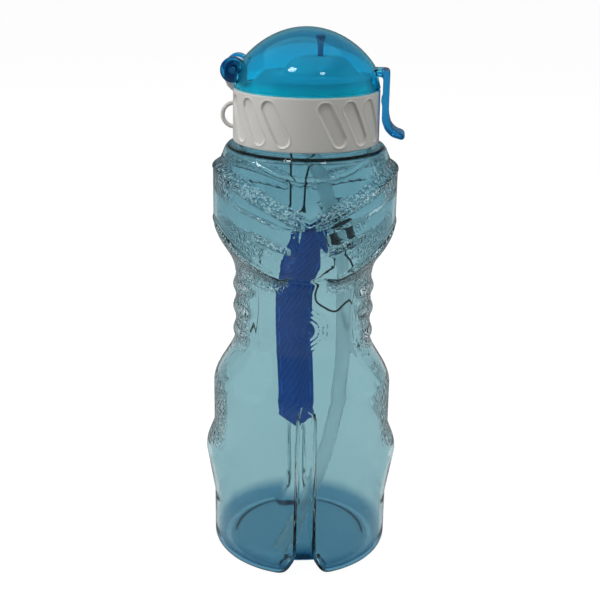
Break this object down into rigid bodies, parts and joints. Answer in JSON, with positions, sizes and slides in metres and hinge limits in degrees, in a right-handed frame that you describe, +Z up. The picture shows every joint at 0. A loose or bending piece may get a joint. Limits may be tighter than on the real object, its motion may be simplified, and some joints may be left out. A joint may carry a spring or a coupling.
{
  "type": "sports squeeze bottle",
  "caption": "Clear waisted squeeze bottle with chest-plate relief, screw lid, hinged dome cover with latch, bent straw and a packed webbing carry strap.",
  "frame": {"origin": "middle of the base, on the surface that the bottle stands on", "axes": "+Z up along the bottle's axis, -Y towards the front groove, +X towards the side where the cover's latch hangs"},
  "size_m": [0.0804, 0.0734, 0.2184],
  "materials": {
    "bottle_clear": "clear teal plastic, glossy",
    "straw_tube": "frosted translucent",
    "seal": "soft, matt",
    "lid_white": "satin moulded",
    "cover_blue": "clear blue, glossy",
    "stopper_blue": "deep blue, glossy",
    "webbing_blue": "woven webbing",
    "buckle_black": "satin black",
    "cord_black": "braided"
  },
  "bodies": {
    "bottle": {"bottle_body": "bottle_clear", "straw": "straw_tube"},
    "lid_carrier": {"cap_gasket": "seal", "strap_webbing": "webbing_blue", "strap_buckle": "buckle_black", "strap_cord_hanging": "cord_black", "strap_cord_trailing": "cord_black"},
    "lid": {"screw_cap": "lid_white", "hinge_pin": "cover_blue"},
    "cover": {"dome_cover": "cover_blue", "stopper_pin": "stopper_blue"}
  },
  "joints": [
    {"name": "lid_lift", "type": "slide", "parent": "bottle", "child": "lid_carrier", "axis": [0, 0, 1], "range_m": [0, 0.00505]},
    {"name": "lid_unscrew", "type": "hinge", "parent": "lid_carrier", "child": "lid", "pos_m": [0, 0, 0.1835], "axis": [0, 0, 1], "range_deg": [0, 450]},
    {"name": "cover_flip", "type": "hinge", "parent": "lid", "child": "cover", "pos_m": [-0.02733, 0.00384, 0.2024], "axis": [-0.1392, -0.9903, 0], "range_deg": [0, 150]}
  ],
  "couplings": [
    {"joint": "lid_lift", "follows": "lid_unscrew", "m_per_rad": 0.00063662}
  ]
}
